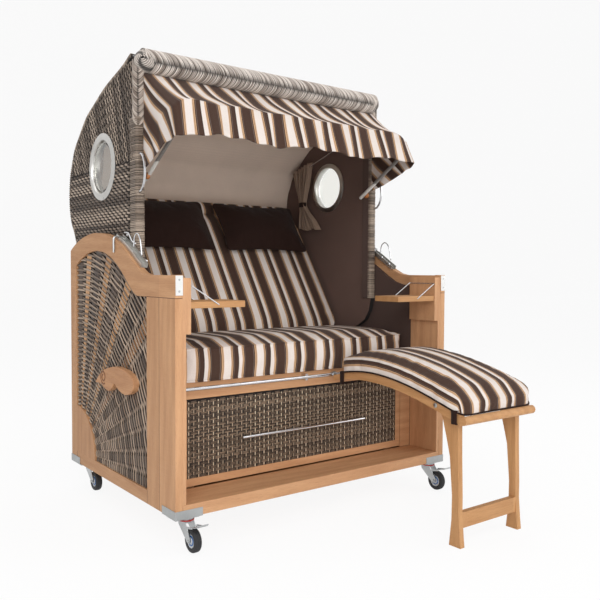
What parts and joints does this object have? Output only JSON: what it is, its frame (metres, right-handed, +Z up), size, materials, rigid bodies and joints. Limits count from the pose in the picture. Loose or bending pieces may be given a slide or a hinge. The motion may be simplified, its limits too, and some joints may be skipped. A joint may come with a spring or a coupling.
{
  "type": "hooded beach chair",
  "caption": "Wide wicker and wood beach chair on casters with a tilting hood, folding awning, side tables, drawer and a hook-on footrest.",
  "frame": {"origin": "on the floor under the middle of the whole chair, footrest included", "axes": "+Z up, +Y towards the hood's back, +X to the right as seen from the front"},
  "size_m": [1.2322, 1.5389, 1.625],
  "materials": {
    "teak": "oiled",
    "wicker": "woven strands",
    "lining": "cloth covered",
    "striped_cloth": "woven stripes",
    "dark_cloth": "woven",
    "chrome": "polished",
    "zinc": "zinc plated",
    "grey_tube": "satin",
    "aluminium": "satin",
    "rubber": "matte",
    "pane": "clear"
  },
  "bodies": {
    "base": {"side_frame_left": "teak", "side_frame_right": "teak", "side_weave_left": "wicker", "side_weave_right": "wicker", "carry_handle_left": "teak", "carry_handle_right": "teak", "inner_side_left": "lining", "inner_side_right": "lining", "recline_rack_left": "zinc", "recline_rack_right": "zinc", "floor_and_deck": "teak", "back_panel": "wicker", "seat_box": "teak", "footrest_tube": "chrome", "seat_cushion": "striped_cloth", "corner_plate_front_left": "zinc", "corner_plate_front_right": "zinc", "corner_plate_rear_left": "zinc", "corner_plate_rear_right": "zinc"},
    "drawer": {"drawer_box": "teak", "drawer_bar": "chrome"},
    "hood": {"hood_back": "wicker", "hood_side_left": "wicker", "hood_side_right": "wicker", "hood_rim": "wicker", "porthole_frame_left": "aluminium", "porthole_frame_right": "aluminium", "porthole_pane_left": "pane", "porthole_pane_right": "pane", "grab_handle_left": "chrome", "grab_handle_right": "chrome", "curtain_left": "dark_cloth", "curtain_right": "dark_cloth", "backrest_board": "teak", "back_cushion": "striped_cloth", "head_pillow_left": "dark_cloth", "head_pillow_right": "dark_cloth", "awning_canvas": "striped_cloth"},
    "awning": {"awning_bow": "grey_tube"},
    "footrest_hooks": {"footrest_hook_left": "zinc", "footrest_hook_right": "zinc"},
    "table_left": {"table_left": "teak"},
    "stay_left": {"table_stay_left": "chrome"},
    "latch_left": {"latch_lever_left": "chrome"},
    "table_right": {"table_right": "teak"},
    "stay_right": {"table_stay_right": "chrome"},
    "latch_right": {"latch_lever_right": "chrome"},
    "fork_front_left": {"fork_front_left": "zinc"},
    "wheel_front_left": {"wheel_front_left": "rubber"},
    "brake_left": {"brake_front_left": "zinc"},
    "fork_front_right": {"fork_front_right": "zinc"},
    "wheel_front_right": {"wheel_front_right": "rubber"},
    "brake_right": {"brake_front_right": "zinc"},
    "fork_rear_left": {"fork_rear_left": "zinc"},
    "wheel_rear_left": {"wheel_rear_left": "rubber"},
    "fork_rear_right": {"fork_rear_right": "zinc"},
    "wheel_rear_right": {"wheel_rear_right": "rubber"},
    "footrest": {"footrest_frame": "teak", "footrest_cushion": "striped_cloth"},
    "footrest_legs": {"footrest_legs": "teak"}
  },
  "joints": [
    {"name": "drawer_slide", "type": "slide", "parent": "base", "child": "drawer", "axis": [0, -1, 0], "range_m": [0, 0.3]},
    {"name": "hood_recline", "type": "hinge", "parent": "base", "child": "hood", "pos_m": [0, 0.3745, 0.535], "axis": [-1, 0, 0], "range_deg": [0, 24]},
    {"name": "awning_fold", "type": "hinge", "parent": "hood", "child": "awning", "pos_m": [0, 0.1395, 1.1985], "axis": [-1, 0, 0], "range_deg": [0, 38], "deforming": ["awning_canvas"]},
    {"name": "table_fold_left", "type": "hinge", "parent": "base", "child": "table_left", "pos_m": [-0.5442, -0.1755, 0.752], "axis": [0, 1, 0], "range_deg": [0, 90]},
    {"name": "stay_swing_left", "type": "hinge", "parent": "base", "child": "stay_left", "pos_m": [-0.5422, -0.1755, 0.822], "axis": [0, 1, 0], "range_deg": [0, 55]},
    {"name": "latch_turn_left", "type": "hinge", "parent": "base", "child": "latch_left", "pos_m": [-0.575, 0.2065, 0.98559], "axis": [-1, 0, 0], "range_deg": [0, 90]},
    {"name": "table_fold_right", "type": "hinge", "parent": "base", "child": "table_right", "pos_m": [0.5442, -0.1755, 0.752], "axis": [0, -1, 0], "range_deg": [0, 90]},
    {"name": "stay_swing_right", "type": "hinge", "parent": "base", "child": "stay_right", "pos_m": [0.5422, -0.1755, 0.822], "axis": [0, -1, 0], "range_deg": [0, 55]},
    {"name": "latch_turn_right", "type": "hinge", "parent": "base", "child": "latch_right", "pos_m": [0.575, 0.2065, 0.98559], "axis": [-1, 0, 0], "range_deg": [0, 90]},
    {"name": "swivel_front_left", "type": "hinge", "parent": "base", "child": "fork_front_left", "pos_m": [-0.548, -0.2155, 0.085], "axis": [0, 0, 1], "continuous": true},
    {"name": "roll_front_left", "type": "hinge", "parent": "fork_front_left", "child": "wheel_front_left", "pos_m": [-0.548, -0.2605, 0.0375], "axis": [1, 0, 0], "continuous": true},
    {"name": "brake_press_left", "type": "hinge", "parent": "fork_front_left", "child": "brake_left", "pos_m": [-0.548, -0.2515, 0.075], "axis": [1, 0, 0], "range_deg": [0, 12]},
    {"name": "swivel_front_right", "type": "hinge", "parent": "base", "child": "fork_front_right", "pos_m": [0.548, -0.2155, 0.085], "axis": [0, 0, 1], "continuous": true},
    {"name": "roll_front_right", "type": "hinge", "parent": "fork_front_right", "child": "wheel_front_right", "pos_m": [0.548, -0.2605, 0.0375], "axis": [1, 0, 0], "continuous": true},
    {"name": "brake_press_right", "type": "hinge", "parent": "fork_front_right", "child": "brake_right", "pos_m": [0.548, -0.2515, 0.075], "axis": [1, 0, 0], "range_deg": [0, 12]},
    {"name": "swivel_rear_left", "type": "hinge", "parent": "base", "child": "fork_rear_left", "pos_m": [-0.548, 0.5745, 0.085], "axis": [0, 0, 1], "continuous": true},
    {"name": "roll_rear_left", "type": "hinge", "parent": "fork_rear_left", "child": "wheel_rear_left", "pos_m": [-0.548, 0.5295, 0.0375], "axis": [1, 0, 0], "continuous": true},
    {"name": "swivel_rear_right", "type": "hinge", "parent": "base", "child": "fork_rear_right", "pos_m": [0.548, 0.5745, 0.085], "axis": [0, 0, 1], "continuous": true},
    {"name": "roll_rear_right", "type": "hinge", "parent": "fork_rear_right", "child": "wheel_rear_right", "pos_m": [0.548, 0.5295, 0.0375], "axis": [1, 0, 0], "continuous": true},
    {"name": "footrest_slide", "type": "slide", "parent": "base", "child": "footrest_hooks", "axis": [1, 0, 0], "range_m": [-0.1, 0.03]},
    {"name": "footrest_lift", "type": "hinge", "parent": "footrest_hooks", "child": "footrest", "pos_m": [0.292, -0.1205, 0.48], "axis": [-1, 0, 0], "range_deg": [0, 30]},
    {"name": "footrest_leg_fold", "type": "hinge", "parent": "footrest", "child": "footrest_legs", "pos_m": [0.292, -0.6425, 0.443], "axis": [-1, 0, 0], "range_deg": [-80, 0]}
  ]
}
